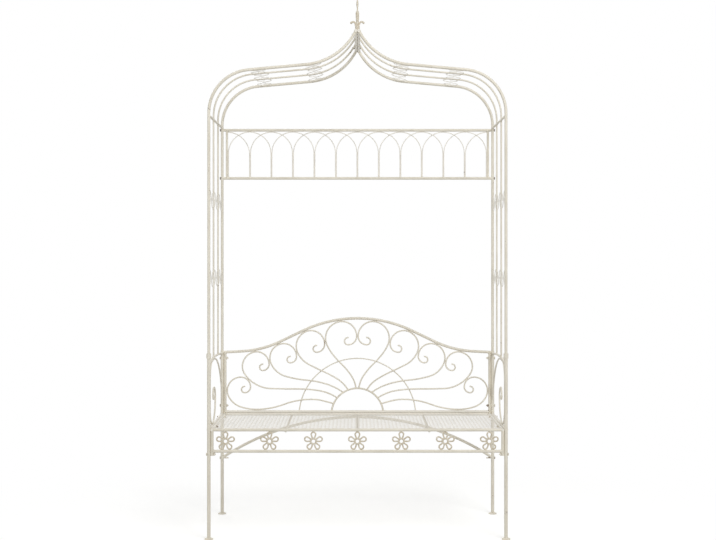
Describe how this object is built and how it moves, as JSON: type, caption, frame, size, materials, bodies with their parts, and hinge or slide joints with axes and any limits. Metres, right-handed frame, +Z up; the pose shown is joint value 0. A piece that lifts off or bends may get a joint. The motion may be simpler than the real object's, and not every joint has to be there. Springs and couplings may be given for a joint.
{
  "type": "garden bench",
  "caption": "Painted iron garden bench with a mesh seat, scrolled sunburst backrest and arms, under its own trellis arch with an ogee roof, lattice panel and finial.",
  "frame": {"origin": "on the floor, in the middle between the four feet", "axes": "+Z up, +X towards the right end seen from the front, and the front of the seat faces -Y"},
  "size_m": [1.234, 0.5158, 2.233],
  "materials": {
    "frame_paint": "ivory paint, satin, slightly worn at the joints",
    "mesh_paint": "ivory paint, satin, on expanded metal",
    "fastener": "dulled zinc-plated steel"
  },
  "bodies": {
    "root": {"apron_flower_petals": "frame_paint", "apron_flower_rings": "frame_paint", "apron_left_end_bar": "frame_paint", "apron_lower_rail": "frame_paint", "apron_right_end_bar": "frame_paint", "back_bottom_rail": "frame_paint", "back_left_stile": "frame_paint", "back_right_stile": "frame_paint", "back_scroll_pair_1": "frame_paint", "back_scroll_pair_2": "frame_paint", "back_scroll_pair_3": "frame_paint", "back_scroll_pair_4": "frame_paint", "back_scroll_pair_5": "frame_paint", "back_sun_inner_arc": "frame_paint", "back_sun_outer_arc": "frame_paint", "back_top_rail": "frame_paint", "finial": "frame_paint", "foot_pads": "frame_paint", "frame_bolts": "fastener", "frame_nuts": "fastener", "front_left_leg": "frame_paint", "front_left_roof_tube": "frame_paint", "front_left_upright": "frame_paint", "front_right_leg": "frame_paint", "front_right_roof_tube": "frame_paint", "front_right_upright": "frame_paint", "lattice_arches": "frame_paint", "lattice_bottom_rail": "frame_paint", "lattice_end_bars": "frame_paint", "lattice_top_rail": "frame_paint", "left_arm_rail": "frame_paint", "left_arm_scroll": "frame_paint", "left_eave_bar": "frame_paint", "left_roof_rods": "frame_paint", "left_roof_scrolls": "frame_paint", "left_side_rail": "frame_paint", "left_trellis_rods": "frame_paint", "left_trellis_scrolls": "frame_paint", "rear_left_leg": "frame_paint", "rear_left_roof_tube": "frame_paint", "rear_left_upright": "frame_paint", "rear_right_leg": "frame_paint", "rear_right_roof_tube": "frame_paint", "rear_right_upright": "frame_paint", "ridge_bars": "frame_paint", "right_arm_rail": "frame_paint", "right_arm_scroll": "frame_paint", "right_eave_bar": "frame_paint", "right_roof_rods": "frame_paint", "right_roof_scrolls": "frame_paint", "right_side_rail": "frame_paint", "right_trellis_rods": "frame_paint", "right_trellis_scrolls": "frame_paint", "seat_cross_bars": "frame_paint", "seat_front_rail": "frame_paint", "seat_left_rail": "frame_paint", "seat_mesh": "mesh_paint", "seat_rear_rail": "frame_paint", "seat_right_rail": "frame_paint", "seat_support_arch": "frame_paint"}
  },
  "joints": []
}
